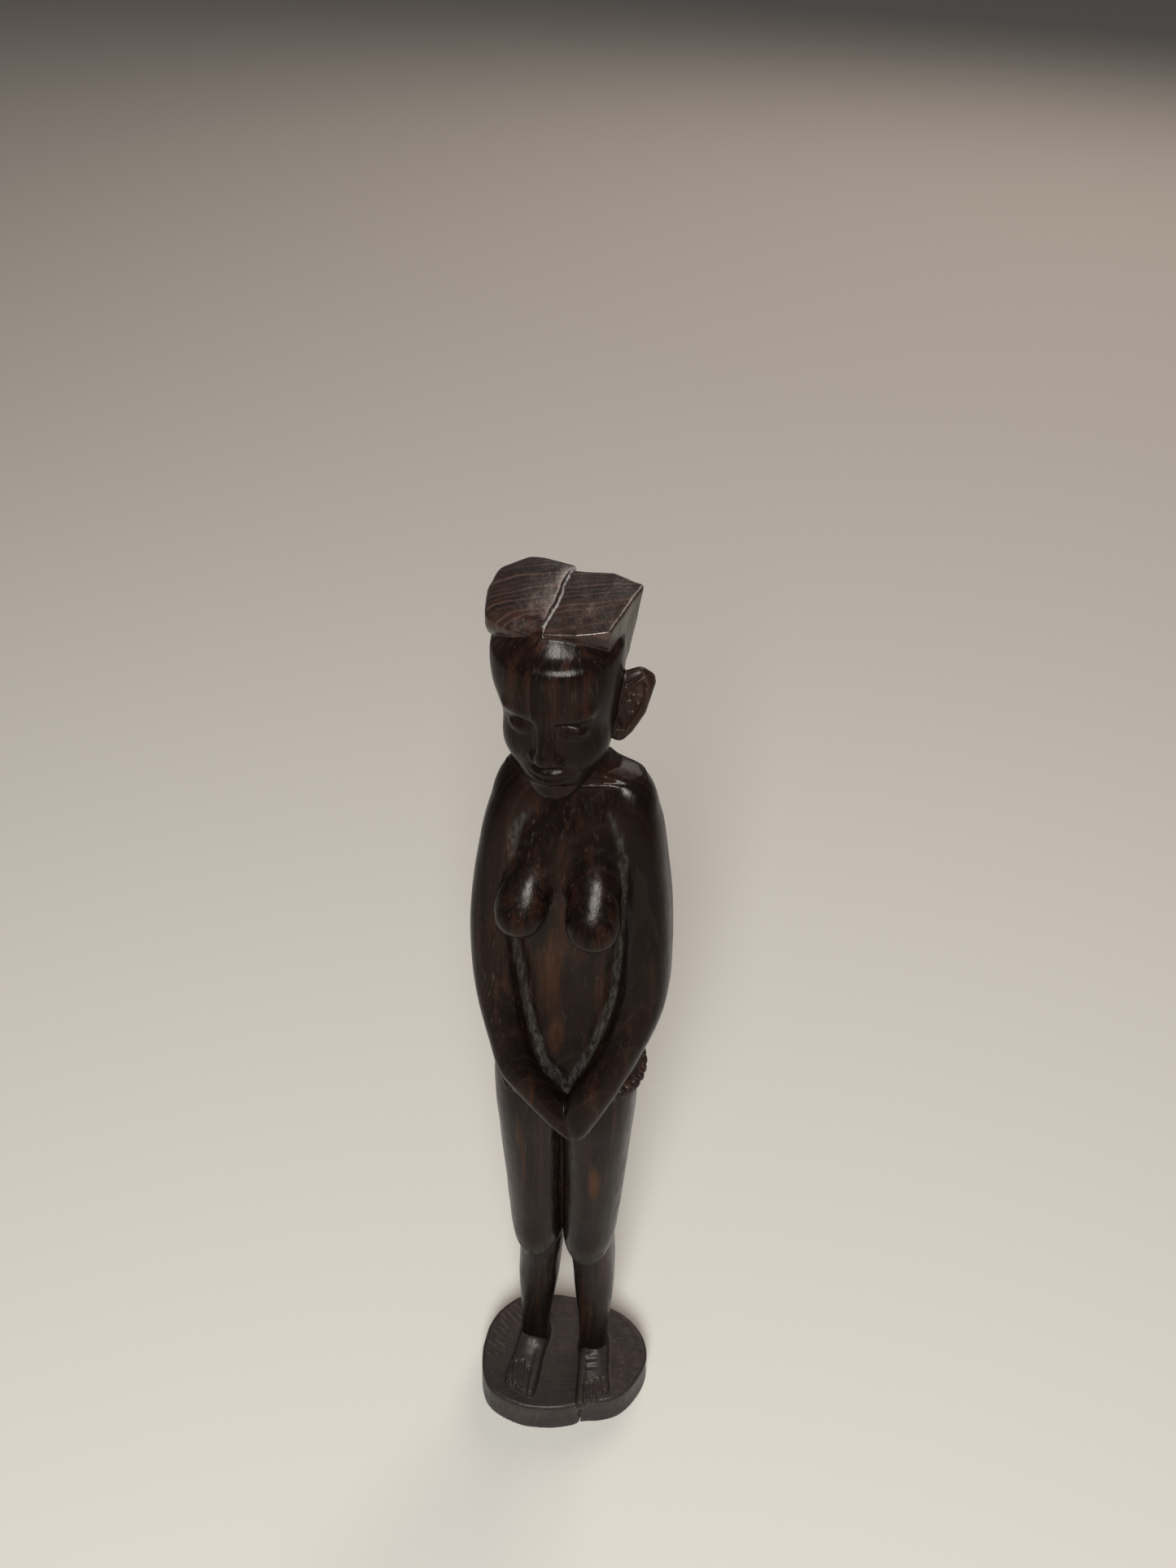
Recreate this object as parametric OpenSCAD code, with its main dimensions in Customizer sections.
// Carved standing figure in dark hardwood: one billet worked into a woman on a rounded base.
// Millimetres, +Z up. The figure faces -Y and its left side is +X.
// Origin: centre of the flat underside of the base.

/* [Overall] */
// height from the underside of the base to the top of the hair
figure_h = 300; // [200:5:380]
// sides of each carved cross-section
ring_sides = 28; // [20:4:32]
// slices between two neighbouring cross-sections
ring_steps = 3; // [2:1:4]

/* [Base] */
// width of the rounded base at its top rim
base_w = 54.6; // [50:0.2:60]
// depth of the rounded base at its top rim
base_d = 39.2; // [36:0.2:44]
// thickness of the base
base_h = 13.5; // [12:0.5:15]
// width of the bevel worked round the top rim
rim_bevel = 0.8; // [0.4:0.1:1.5]
// how far the side wall draws in towards the underside
wall_taper = 0.1; // [0:0.1:2.5]
// width of the drying check in the front wall
check_w = 1.0; // [0.6:0.1:1.6]
// depth of the drying check
check_d = 2.2; // [1:0.1:4]

/* [Head] */
// turn of the head towards the figure's right
head_turn = 4; // [-10:1:15]
// bow of the head, chin down
head_bow = 5; // [0:1:12]
// lean of the head towards the figure's right shoulder
head_lean = 2; // [-5:1:6]
// width of the groove that parts the hair
parting_w = 1.0; // [0.8:0.1:2.5]
// depth of the groove that parts the hair
parting_d = 1.0; // [0.8:0.1:2.5]
// height of each ear
ear_h = 16.6; // [13:0.2:18]

/* [Body] */
// bead size in the carved girdle
bead_d = 3.0; // [2.8:0.1:3.6]
// number of beads round the hips
bead_count = 38; // [34:1:42]
// splay of the left foot
left_splay = 8; // [0:0.5:14]
// splay of the right foot
right_splay = 3.5; // [0:0.5:14]
// width of the grooves between the toes
toe_groove = 1.1; // [0.6:0.1:1.5]

/* [Hidden] */
drawn_h = 300;
size = figure_h / drawn_h;
far = 200;
body_set_back = 1.1;
hip_cut_z = 166;
bust_axis_x = -0.9;
arm_axis_x = 0.0;
leg_axis_x = -1.0;
shin_axis_x = -0.8;
head_at = [-2.9, 0, 281];
bust_turn = -4;
base_edge_h = 6;
check_at = [8.4, -15.9];
band_h = 1.6;
band_out = 0.7;
parting_x = -0.6;
hair_top = 18;
left = 1;
right = -1;

// Feet: the big toe stands furthest forward and each next toe is lower and further back.
foot_x = 9.6;
heel_y = 8.4;
toe_count = 5;
toe_pitch = 2.1;
big_toe_x = -3.6;
big_toe_tip = 26.2;
big_toe_top = 3.4;
toe_fall = 0.2;
toe_line = 25;
toe_groove_run = 12;
left_toe_slant = 32;
right_toe_slant = 17;

// Breasts: root of each in the chest, turn outwards and hang below the level.
left_breast_root = [7.1, -3.4, 240.9];
right_breast_root = [6.4, -3.4, 240.9];
breast_turn = 10;
breast_hang = 149;

// Features of the face, each an ellipsoid: [centre, half sizes]
eye_socket = [[4.9, -13.0, -2.6], [3.4, 2.6, 2.0]];
closed_lid = [[4.8, -9.6, -2.8], [2.8, 2.2, 1.7]];
upper_lip = [[0, -10.0, -13.3], [3.6, 2.4, 1.0]];
lower_lip = [[0, -9.6, -15.0], [3.2, 2.4, 1.1]];

// Plan of the base: its front draws back towards the figure's left.
drawn_base = [54.6, 39.2];
base_plan = [
    [27.2, 2], [23.8, 12], [13, 18.2], [-4, 19.5], [-18, 16.4], [-25.8, 7],
    [-26.8, -5], [-22.4, -15.6], [-12, -19.6], [-1, -18.9], [9, -15.4], [21, -10],
];
// Height on the base's wall, and how far the wall stands in from the plan there
base_levels = [[0, wall_taper], [base_edge_h, 0.2], [base_h - rim_bevel, 0], [base_h, rim_bevel]];

// Leaf outline of an ear and of its hollow: out from the head, up.
drawn_ear_h = 16.6;
ear_thick = 2.5;
ear_round = 1.5;
hollow_round = 0.3;
ear_plan = [
    [1.6, 5.8], [3.2, 6.4], [4.4, 5.6], [4.6, 4.4], [2.9, -1.4], [0.2, -5.8], [-1.3, -7.2], [-2.2, -5.8],
    [-2.4, -2.0], [-0.6, 3.4],
];
ear_hollow = [[1.0, 2.8], [3.6, 4.9], [4.1, 4.2], [2.5, -1.0], [0.2, -5.0], [-1.0, -5.2], [-0.8, -1.0]];
// Each ear: [root on the side of the head, turn towards the back, lean of its top towards the back]
left_ear_set = [[12.0, 1.6, -4.0], 8, 10];
right_ear_set = [[11.6, 3.8, -4.0], 40, 10];

// Plan of each hair lobe before its corners are rounded, with the rounding of the corners
left_hair = [
    [[-0.6, -6.8], [5.4, -6.0], [10.4, -4.2], [12.7, 9.8], [7.1, 12.5], [-0.6, 11.8]],
    1.2,
];
right_hair = [
    [[-0.6, -4.2], [-6.0, -3.6], [-9.8, -1.6], [-11.2, 4.0], [-11.4, 9.6], [-8.4, 12.6], [-0.6, 11.4]],
    3.4,
];
// Height above the head's centre, and how far a lobe's side walls stand in from its plan there
left_hair_levels = [[-8, 5.6], [3, 2.4], [9.5, 1.3], [14.5, 0.5], [17, 0], [17.7, 0.4]];
right_hair_levels = [[-8, 5.6], [3, 2.4], [9.5, 0.5], [14.5, -0.2], [17, 0], [18.1, 1.4]];
// Course of the undercut front of the hair, seen from the side: [towards the back, up]
hair_front = [[-9.0, 20], [-7.8, 17], [-7.0, 14.5], [-5.4, 12], [-2.6, 9.5], [3.8, 3], [4.8, -6], [4.8, -15]];
brow_bevel_at = [-4.4, 17.9];
brow_bevel_tilt = 37;

// Cross-section rows: [height, centre x, centre y, half width, front reach, back reach, squareness]
torso_rows = [
    [hip_cut_z,  0.2,  0.6, 18.0, 10.4, 12.6, 2.4],
    [176,       -0.2,  1.2, 16.4, 10.6, 10.4, 2.3],
    [188,       -0.6,  1.6, 14.6,  8.6,  8.8, 2.3],
    [202,       -0.6,  1.6, 14.0,  7.4,  8.6, 2.3],
    [218,       -0.6,  1.4, 15.0,  8.4,  9.6, 2.3],
    [234,       -0.4,  1.4, 15.8,  9.2, 10.6, 2.4],
    [244,       -0.2,  1.6, 15.6,  8.4, 10.5, 2.4],
    [250,       -0.2,  2.0, 15.0,  6.8,  9.8, 2.3],
    [254.5,     -0.3,  2.3, 13.6,  4.6,  8.8, 2.2],
    [258,       -0.4,  2.9, 10.6,  2.6,  7.0, 2.0],
    [260.5,     -0.6,  3.4,  6.4,  1.6,  5.2, 2.0],
];

arm_rows = [
    [177,   10.4, -11.4, 5.0, 4.8, 6.8, 2.2],
    [184,   13.2,  -7.8, 5.2, 6.0, 7.4, 2.2],
    [192,   15.6,  -4.0, 5.5, 7.4, 7.4, 2.3],
    [201,   17.1,  -1.0, 5.8, 8.0, 7.2, 2.5],
    [213,   17.8,   0.2, 5.6, 7.8, 7.6, 2.6],
    [226,   17.2,   0.8, 5.4, 7.4, 7.4, 2.6],
    [238,   15.6,   1.0, 5.2, 7.2, 7.4, 2.5],
    [247,   14.0,   1.4, 4.9, 6.6, 7.0, 2.5],
    [253.5, 12.3,   1.8, 4.5, 5.6, 5.8, 2.4],
    [257.4, 11.4,   2.0, 3.5, 4.2, 4.4, 2.2],
    [258.8, 11.0,   2.2, 1.9, 2.3, 2.5, 2.0],
];

left_hand_rows = [
    [158.4,  5.3, -16.2, 1.2, 1.6, 1.8, 2.0],
    [161,    5.3, -15.6, 3.0, 3.2, 3.4, 2.0],
    [166,    6.0, -14.6, 4.6, 4.0, 4.4, 2.2],
    [172,    8.0, -13.2, 5.2, 4.4, 5.4, 2.2],
    [177,   10.4, -11.4, 5.0, 4.8, 6.8, 2.2],
];

right_hand_rows = [
    [157.8,  5.0, -16.4, 1.2, 1.6, 1.8, 2.0],
    [161,    2.8, -15.4, 3.2, 3.2, 3.4, 2.0],
    [166,   -1.2, -14.2, 4.8, 3.8, 4.4, 2.2],
    [172,   -6.6, -12.8, 5.2, 4.2, 5.4, 2.2],
    [177,  -10.4, -11.4, 5.0, 4.8, 6.8, 2.2],
];

// Breast rows run along the breast, from its root in the chest to its tip.
breast_rows = [
    [0,    0, 0, 3.0, 2.6, 2.6, 2.0],
    [4,    0, 0, 4.2, 3.4, 3.4, 2.0],
    [10,   0, 0, 5.7, 4.7, 4.7, 2.0],
    [15,   0, 0, 6.0, 5.0, 5.0, 2.0],
    [18.8, 0, 0, 4.6, 4.0, 4.0, 2.0],
    [20.9, 0, 0, 1.9, 1.8, 1.8, 2.0],
];

thigh_rows = [
    [81.5,      7.6, 0.4,  3.4,  7.4, 5.0, 2.0],
    [84,        7.5, 0.5,  6.2,  8.8, 6.6, 2.0],
    [90,        7.5, 0.8,  7.6,  9.6, 7.8, 2.1],
    [102,       7.7, 1.2,  8.2,  9.8, 8.6, 2.1],
    [120,       8.1, 1.4,  8.8, 10.4, 10.0, 2.1],
    [138,       8.4, 1.2,  9.3, 10.8, 12.4, 2.2],
    [152,       8.7, 0.9,  9.6, 11.0, 13.6, 2.3],
    [hip_cut_z, 8.8, 0.6,  9.5, 10.6, 12.6, 2.3],
];

shin_rows = [
    [base_h, 9.8, 2.4, 4.7, 4.6, 6.0, 2.4],
    [21,     9.7, 2.8, 4.4, 4.4, 5.2, 2.5],
    [34,     9.5, 4.2, 5.0, 5.0, 5.8, 2.5],
    [50,     9.0, 5.2, 6.1, 5.8, 7.6, 2.4],
    [64,     8.4, 5.4, 6.4, 6.4, 8.4, 2.3],
    [76,     7.8, 4.8, 6.7, 6.6, 7.6, 2.2],
    [90,     7.6, 3.4, 6.4, 6.4, 6.0, 2.2],
];

// Foot rows run from the heel to the toe tips: height is the distance from the heel,
// front reach is down into the base and back reach is up to the instep.
foot_rows = [
    [0,    0, 0, 2.6, 0.4, 3.8, 2.2],
    [2,    0, 0, 4.4, 0.4, 5.8, 2.4],
    [8,    0, 0, 4.8, 0.4, 8.0, 2.4],
    [13,   0, 0, 4.9, 0.4, 5.6, 2.4],
    [18,   0, 0, 5.3, 0.4, 3.7, 2.6],
    [22.5, 0, 0, 5.4, 0.4, 2.7, 2.8],
    [25.4, 0, 0, 5.0, 0.4, 1.9, 2.8],
    [26.6, 0, 0, 4.0, 0.4, 1.0, 2.6],
];

neck_rows = [
    [252, -0.6, 3.2, 7.6, 6.2, 6.2, 2.0],
    [261, -1.4, 2.8, 6.8, 5.6, 6.4, 2.0],
    [272, -2.6, 2.6, 7.4, 6.2, 7.2, 2.0],
];

// Head rows are about the centre of the head, with the eye line just below zero.
head_rows = [
    [-21.6, 0, -7.4,  2.4,  2.4,  2.4, 2.0],
    [-20.2, 0, -6.6,  5.0,  4.2,  6.0, 2.0],
    [-15.5, 0, -3.4,  8.2,  8.2, 10.0, 2.1],
    [-9.0,  0, -1.0, 10.2, 10.4, 11.4, 2.2],
    [-2.0,  0, -0.4, 11.4, 11.5, 11.8, 2.3],
    [4.0,  -0.3, 0.0, 12.5, 12.5, 12.0, 2.3],
    [9.6,  -0.3, 0.2, 12.8, 12.3, 12.0, 2.1],
    [11.5, -0.2, 0.4, 12.2, 11.8, 11.6, 2.0],
    [13.6,  0,  0.6, 10.4, 11.6, 10.8, 2.0],
    [15.8,  0,  1.0,  7.8,  9.6,  7.4, 2.0],
    [16.8,  0,  1.0,  5.2,  7.6,  4.0, 2.0],
];

nose_rows = [
    [-10.6, 0, -10.0, 1.8, 2.0, 1.8, 2.0],
    [-9.2,  0, -10.4, 3.2, 4.0, 2.0, 2.0],
    [-6.4,  0, -10.6, 2.4, 3.8, 2.0, 2.0],
    [-1.6,  0, -10.6, 1.5, 2.4, 2.0, 2.0],
    [2.4,   0, -11.2, 1.3, 1.0, 2.0, 2.0],
];

function blend(a, b, c, d, t) =
    b + 0.5 * t * (c - a + t * (2 * a - 5 * b + 4 * c - d + t * (3 * (b - c) + d - a)));
function row(rows, i) = rows[max(0, min(len(rows) - 1, i))];
function section(rows, s) =
    let (i = min(floor(s), len(rows) - 2))
    blend(row(rows, i - 1), row(rows, i), row(rows, i + 1), row(rows, i + 2), s - i);
function looped(points, s) =
    let (n = len(points), i = floor(s))
    blend(points[(i + n - 1) % n], points[i % n], points[(i + 1) % n], points[(i + 2) % n], s - i);
function squared(v, n) = sign(v) * pow(abs(v), 2 / n);
function ring(q, sides) = [
    for (k = [0 : sides - 1])
    let (a = 360 * (k + 0.5) / sides, c = squared(cos(a), q[6]), s = squared(sin(a), q[6]))
    [q[1] + q[3] * c, q[2] + (s < 0 ? q[4] : q[5]) * s, q[0]]
];
function base_ring(level) = [
    for (k = [0 : len(base_plan) * 4 - 1])
    let (p = looped(base_plan, k / 4), q = p * (1 - level[1] / norm(p)))
    [q[0], q[1], level[0]]
];
function along(points, i = 0, run = 0) =
    i == len(points) ? [[run, i]]
    : concat([[run, i]], along(points, i + 1, run + norm(points[(i + 1) % len(points)] - points[i])));

// Closed solid through rings of points, one above another.
module lofted(rings) {
    sides = len(rings[0]);
    top = len(rings) - 1;
    walls = [
        for (j = [0 : top - 1])
        for (k = [0 : sides - 1])
        let (m = (k + 1) % sides, a = j * sides)
        each [[a + k, a + sides + k, a + sides + m], [a + k, a + sides + m, a + m]]
    ];
    lower = [[for (k = [0 : sides - 1]) k]];
    upper = [[for (k = [sides - 1 : -1 : 0]) top * sides + k]];
    polyhedron([for (r = rings) each r], concat(lower, walls, upper), convexity = 6);
}

// Smooth solid through the cross-sections of a table.
module member(rows, sides = ring_sides) {
    lofted([for (j = [0 : (len(rows) - 1) * ring_steps]) ring(section(rows, j / ring_steps), sides)]);
}

module placed(tint) {
    color(tint)
        scale(size)
            translate([0, body_set_back, 0])
                children();
}

module on_side(side, axis_x) {
    translate([axis_x, 0, 0])
        mirror([side == right ? 1 : 0, 0, 0])
            children();
}

module on_head() {
    translate(head_at)
        rotate([head_bow, -head_lean, 0])
            rotate([0, 0, -head_turn])
                children();
}

// Everything on one side of an upright plane square to the x axis.
module beyond(side, x) {
    translate([x - (side == right ? far : 0), -far / 2, -far / 2])
        cube(far);
}

module ellipsoid(feature, side = left) {
    translate([side * feature[0][0], feature[0][1], feature[0][2]])
        scale(feature[1])
            sphere(r = 1, $fn = 20);
}

// ---- solid shapes, before neighbours are cut from each other ----

module torso_shape() {
    member(torso_rows);
}

module thigh_shape(side) {
    on_side(side, leg_axis_x)
        member(thigh_rows);
}

module shin_shape(side) {
    on_side(side, shin_axis_x)
        member(shin_rows, 24);
}

module arm_shape(side) {
    on_side(side, arm_axis_x)
        member(arm_rows, 24);
}

module breast_shape(side) {
    rotate([0, 0, bust_turn])
        on_side(side, bust_axis_x)
            translate(side == left ? left_breast_root : right_breast_root)
                rotate([0, 0, breast_turn])
                    rotate([breast_hang, 0, 0])
                        member(breast_rows, 24);
}

module head_shape() {
    on_head() {
        difference() {
            union() {
                member(head_rows);
                member(nose_rows, 16);
            }
            for (side = [left, right])
                ellipsoid(eye_socket, side);
        }
        for (side = [left, right])
            ellipsoid(closed_lid, side);
        ellipsoid(upper_lip);
        ellipsoid(lower_lip);
    }
}

module hair_slab(lobe, level) {
    translate([0, 0, level[0]])
        linear_extrude(0.01)
            offset(r = lobe[1] - level[1], $fn = 24)
                polygon(lobe[0]);
}

// A lobe of hair about the head's centre, flat on top and undercut at the front
module lobe_shape(side) {
    lobe = side == left ? left_hair : right_hair;
    levels = side == left ? left_hair_levels : right_hair_levels;
    foot_of_front = [hair_front[len(hair_front) - 1][0], -far];
    difference() {
        for (i = [1 : len(levels) - 1])
            hull() {
                hair_slab(lobe, levels[i - 1]);
                hair_slab(lobe, levels[i]);
            }
        rotate([90, 0, 90])
            linear_extrude(far, center = true)
                polygon(concat([[-far, -far], [-far, far]], hair_front, [foot_of_front]));
        translate([parting_x, 0, hair_top])
            rotate([90, 0, 0])
                linear_extrude(far, center = true)
                    polygon([[0, -parting_d], [parting_w, parting_d], [-parting_w, parting_d]]);
        if (side == right)
            translate([0, brow_bevel_at[0], brow_bevel_at[1]])
                rotate([brow_bevel_tilt, 0, 0])
                    translate([-far / 2, -far / 2, 0])
                        cube(far);
    }
}

module hair_shape(side) {
    on_head()
        lobe_shape(side);
}

module ear_slab(thick, round, plan) {
    rotate([90, 0, 0])
        linear_extrude(thick, center = true)
            offset(r = round, $fn = 32)
                polygon(plan);
}

module ear_shape(side) {
    q = side == left ? left_ear_set : right_ear_set;
    on_head()
        on_side(side, 0)
            translate(q[0])
                rotate([-q[2], 0, q[1]])
                    scale([1, 1, ear_h / drawn_ear_h])
                        difference() {
                            ear_slab(ear_thick, ear_round, ear_plan);
                            translate([0, -ear_thick / 2, 0])
                                ear_slab(ear_thick * 0.9, hollow_round, ear_hollow);
                        }
}

module foot_shape(side) {
    on_side(side, shin_axis_x)
        translate([foot_x, heel_y, base_h])
            rotate([0, 0, side == left ? left_splay : right_splay])
                difference() {
                    rotate([90, 0, 0])
                        member(foot_rows, 20);
                    for (k = [1 : toe_count - 1])
                        translate([big_toe_x + toe_pitch * (k - 0.5), -toe_line, big_toe_top - toe_fall * k])
                            rotate([0, 45, 0])
                                cube([toe_groove, toe_groove_run, toe_groove], center = true);
                    translate([big_toe_x, -big_toe_tip, 0])
                        rotate([0, 0, side == left ? left_toe_slant : right_toe_slant])
                            translate([-far / 2, -far, -far / 2])
                                cube(far);
                }
}

module girdle_shape() {
    path = ring(torso_rows[0], 180);
    run = along(path);
    pitch = run[len(path)][0] / bead_count;
    for (k = [0 : bead_count - 1])
        translate(path[round(lookup((k + 0.5) * pitch, run)) % len(path)])
            sphere(d = bead_d, $fn = 8);
    member([for (h = [-band_h / 2, band_h / 2]) torso_rows[0] + [h, 0, 0, band_out, band_out, band_out, 0]]);
}

module hair_block() {
    hair_shape(left);
    hair_shape(right);
}

module left_hand_shape() {
    translate([arm_axis_x, 0, 0])
        member(left_hand_rows, 24);
}

module right_hand_shape() {
    translate([arm_axis_x, 0, 0])
        member(right_hand_rows, 24);
}

module hips() {
    torso_shape();
    thigh_shape(left);
    thigh_shape(right);
}

// ---- the named members ----

module base() {
    color([0.20, 0.12, 0.09])
        scale([size * base_w / drawn_base[0], size * base_d / drawn_base[1], size])
            difference() {
                lofted([for (level = base_levels) base_ring(level)]);
                translate([check_at[0], check_at[1], base_h / 2])
                    rotate([0, 0, 20])
                        cube([check_w, check_d * 2, base_h * 2], center = true);
            }
}

module foot(side) {
    placed([0.22, 0.13, 0.10])
        resize([0, 0, 0])
            difference() {
                foot_shape(side);
                shin_shape(side);
                translate([0, 0, base_h - far / 2])
                    cube(far, center = true);
            }
}

module lower_leg(side) {
    placed([0.21, 0.12, 0.09])
        resize([0, 0, 0])
            difference() {
                shin_shape(side);
                thigh_shape(side);
            }
}

module thigh(side) {
    placed([0.19, 0.11, 0.08])
        resize([0, 0, 0])
            difference() {
                thigh_shape(side);
                beyond(-side, leg_axis_x);
            }
}

module torso() {
    placed([0.20, 0.11, 0.08])
        torso_shape();
}

module breast(side) {
    placed([0.22, 0.12, 0.09])
        resize([0, 0, 0])
            difference() {
                breast_shape(side);
                torso_shape();
                rotate([0, 0, bust_turn])
                    beyond(-side, bust_axis_x);
            }
}

module arm(side) {
    placed([0.18, 0.11, 0.08])
        resize([0, 0, 0])
            difference() {
                arm_shape(side);
                torso_shape();
            }
}

module left_hand() {
    placed([0.21, 0.12, 0.09])
        resize([0, 0, 0])
            difference() {
                left_hand_shape();
                hips();
                girdle_shape();
            }
}

module right_hand() {
    placed([0.19, 0.11, 0.08])
        resize([0, 0, 0])
            difference() {
                right_hand_shape();
                left_hand_shape();
                hips();
                girdle_shape();
            }
}

module neck() {
    placed([0.19, 0.11, 0.08])
        resize([0, 0, 0])
            difference() {
                member(neck_rows, 24);
                torso_shape();
                head_shape();
                hair_block();
            }
}

module head() {
    placed([0.20, 0.12, 0.09])
        resize([0, 0, 0])
            head_shape();
}

module ear(side) {
    placed([0.21, 0.13, 0.10])
        resize([0, 0, 0])
            difference() {
                ear_shape(side);
                head_shape();
            }
}

module hair_lobe(side) {
    placed([0.17, 0.10, 0.08])
        resize([0, 0, 0])
            difference() {
                hair_shape(side);
                on_head()
                    beyond(-side, parting_x);
                head_shape();
                ear_shape(side);
            }
}

module bead_girdle() {
    placed([0.24, 0.14, 0.11])
        resize([0, 0, 0])
            difference() {
                girdle_shape();
                hips();
            }
}

base();
foot(left);  // left_foot
foot(right);  // right_foot
lower_leg(left);  // left_lower_leg
lower_leg(right);  // right_lower_leg
thigh(left);  // left_thigh
thigh(right);  // right_thigh
torso();
breast(left);  // left_breast
breast(right);  // right_breast
arm(left);  // left_arm
arm(right);  // right_arm
left_hand();
right_hand();
neck();
head();
ear(left);  // left_ear
ear(right);  // right_ear
hair_lobe(left);  // left_hair_lobe
hair_lobe(right);  // right_hair_lobe
bead_girdle();
